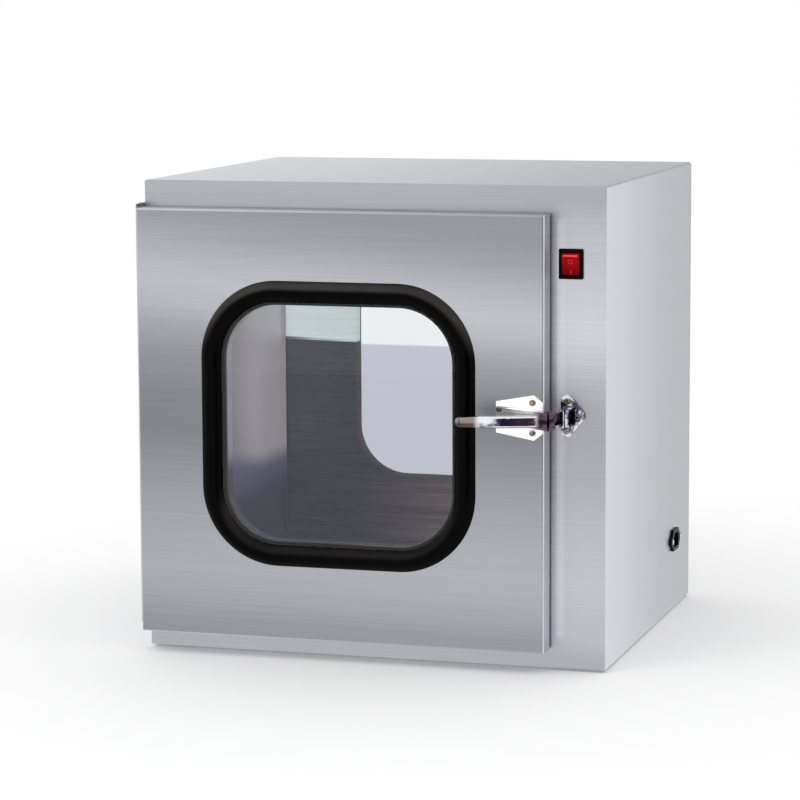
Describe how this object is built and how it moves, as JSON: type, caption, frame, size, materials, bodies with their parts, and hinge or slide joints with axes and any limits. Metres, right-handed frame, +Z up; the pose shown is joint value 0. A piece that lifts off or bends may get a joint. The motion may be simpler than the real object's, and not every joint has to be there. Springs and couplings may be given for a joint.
{
  "type": "cleanroom pass box",
  "caption": "Sheet-steel transfer cabinet: a chamber with a hinged, windowed door and claw latch at each end, a lamp, a rocker switch and a mains inlet.",
  "frame": {"origin": "centre of the footprint, on the surface that the feet stand on", "axes": "+Z up, +X towards the latch side seen from the front door, +Y from the front door to the rear door"},
  "size_m": [0.5106, 0.5822, 0.503],
  "materials": {
    "cabinet_steel": "brushed stainless steel",
    "door_steel": "brushed stainless steel, grain along the width",
    "chamber_steel": "brushed stainless steel, inside",
    "hinge_steel": "stainless steel hinge",
    "screw_steel": "plain steel",
    "chrome": "polished chrome on cast zinc",
    "rubber": "black rubber",
    "black_rubber": "smooth black rubber moulding",
    "black_plastic": "black moulded plastic",
    "red_plastic": "red translucent plastic",
    "white_plastic": "white moulded plastic",
    "white_enamel": "white enamel",
    "lamp_glass": "frosted lamp tube",
    "lamp_cap": "lamp cap",
    "brass": "plated brass contacts",
    "wire_sleeve": "sleeved wire",
    "window_glass": "clear toughened glass"
  },
  "bodies": {
    "cabinet": {"outer_shell": "cabinet_steel", "base_pan": "cabinet_steel", "front_frame": "cabinet_steel", "rear_frame": "cabinet_steel", "chamber_liner": "chamber_steel", "feet": "rubber", "lamp_bracket": "white_enamel", "lamp_tube": "lamp_glass", "lamp_end_caps": "lamp_cap", "lamp_holders": "white_plastic", "lamp_screws": "screw_steel", "ballast": "white_enamel", "ballast_screws": "screw_steel", "switch_housing": "black_plastic", "switch_terminals": "brass", "inlet_housing": "black_plastic", "inlet_pins": "brass", "inlet_screws": "screw_steel", "wiring_harness": "wire_sleeve", "interlock_guides": "white_plastic", "front_keeper": "chrome", "rear_keeper": "chrome", "keeper_pins": "screw_steel", "keeper_screws": "screw_steel", "front_hinge_frame_leaf": "hinge_steel", "rear_hinge_frame_leaf": "hinge_steel", "hinge_pins": "screw_steel"},
    "front_door": {"front_door_skin": "door_steel", "front_door_inner_pan": "door_steel", "front_window_moulding": "black_rubber", "front_window_glass": "window_glass", "front_door_seal": "rubber", "front_hinge_door_leaf": "hinge_steel", "front_latch_base": "chrome", "front_latch_pin": "chrome", "front_latch_screws": "screw_steel"},
    "rear_door": {"rear_door_skin": "door_steel", "rear_door_inner_pan": "door_steel", "rear_window_moulding": "black_rubber", "rear_window_glass": "window_glass", "rear_door_seal": "rubber", "rear_hinge_door_leaf": "hinge_steel", "rear_latch_base": "chrome", "rear_latch_pin": "chrome", "rear_latch_screws": "screw_steel"},
    "front_latch": {"front_latch_lever": "chrome"},
    "rear_latch": {"rear_latch_lever": "chrome"},
    "front_roller": {"front_keeper_roller": "chrome"},
    "rear_roller": {"rear_keeper_roller": "chrome"},
    "switch": {"switch_rocker": "red_plastic"},
    "interlock": {"interlock_shaft": "screw_steel"}
  },
  "joints": [
    {"name": "front_door_hinge", "type": "hinge", "parent": "cabinet", "child": "front_door", "pos_m": [-0.25235, -0.217, 0.251], "axis": [0, 0, -1], "range_deg": [0, 175]},
    {"name": "rear_door_hinge", "type": "hinge", "parent": "cabinet", "child": "rear_door", "pos_m": [-0.25235, 0.217, 0.251], "axis": [0, 0, 1], "range_deg": [0, 175]},
    {"name": "front_latch_pivot", "type": "hinge", "parent": "front_door", "child": "front_latch", "pos_m": [0.20085, -0.261, 0.268], "axis": [0, 0, 1], "range_deg": [0, 24]},
    {"name": "rear_latch_pivot", "type": "hinge", "parent": "rear_door", "child": "rear_latch", "pos_m": [0.20085, 0.261, 0.268], "axis": [0, 0, -1], "range_deg": [0, 24]},
    {"name": "switch_rock", "type": "hinge", "parent": "cabinet", "child": "switch", "pos_m": [0.21415, -0.212, 0.4235], "axis": [1, 0, 0], "range_deg": [-24, 0]},
    {"name": "front_roller_spin", "type": "hinge", "parent": "cabinet", "child": "front_roller", "pos_m": [0.21285, -0.239, 0.268], "axis": [0, 0, 1], "continuous": true},
    {"name": "rear_roller_spin", "type": "hinge", "parent": "cabinet", "child": "rear_roller", "pos_m": [0.21285, 0.239, 0.268], "axis": [0, 0, 1], "continuous": true},
    {"name": "interlock_turn", "type": "hinge", "parent": "cabinet", "child": "interlock", "pos_m": [0.17885, 0, 0.153], "axis": [0, 1, 0], "range_deg": [-30, 30]}
  ]
}
